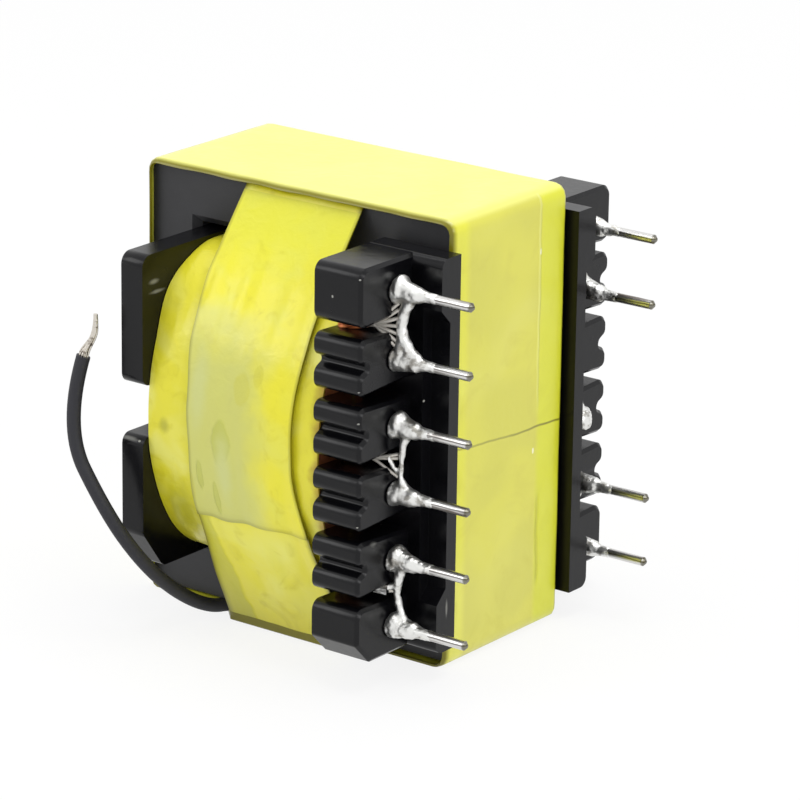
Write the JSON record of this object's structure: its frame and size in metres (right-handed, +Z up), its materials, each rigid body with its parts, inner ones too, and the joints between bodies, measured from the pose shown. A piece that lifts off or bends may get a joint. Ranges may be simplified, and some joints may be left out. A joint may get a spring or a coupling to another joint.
{
  "type": "pcb transformer",
  "caption": "Through-hole switching transformer: taped ferrite core, black bobbin with grooved terminal blocks, soldered pins and a short flying lead.",
  "frame": {"origin": "middle of the taped core face that the part rests on", "axes": "+X the way the pins point, +Y from the full pin row to the part-filled row, +Z up"},
  "size_m": [0.0332, 0.0336, 0.0336],
  "materials": {
    "ferrite": "satin",
    "tape": "gloss",
    "bobbin": "gloss",
    "copper": "satin",
    "film": "gloss",
    "pin": "gloss",
    "solder": "gloss",
    "sleeve": "matte"
  },
  "bodies": {
    "root": {"core_half_far_side": "ferrite", "core_half_pin_side": "ferrite", "core_tape": "tape", "strap_tape": "tape", "winding_tape": "tape", "bobbin": "bobbin", "primary_winding": "copper", "secondary_winding": "copper", "interlayer_tape": "film", "lead_sleeve": "sleeve", "lead_bare_end": "solder", "pin_stub_back_4": "pin", "solder_back_4": "solder", "pin_front_1": "pin", "pin_front_2": "pin", "pin_front_3": "pin", "pin_front_4": "pin", "pin_front_5": "pin", "pin_front_6": "pin", "pin_back_1": "pin", "solder_back_1": "solder", "pin_back_2": "pin", "solder_back_2": "solder", "pin_back_5": "pin", "solder_back_5": "solder", "pin_back_6": "pin", "solder_back_6": "solder", "solder_front_12": "solder", "copper_end_front_12": "copper", "copper_end_back_12": "copper", "solder_front_34": "solder", "copper_end_front_34": "copper", "copper_end_back_34": "copper", "solder_front_56": "solder", "copper_end_front_56": "copper", "copper_end_back_56": "copper"}
  },
  "joints": []
}
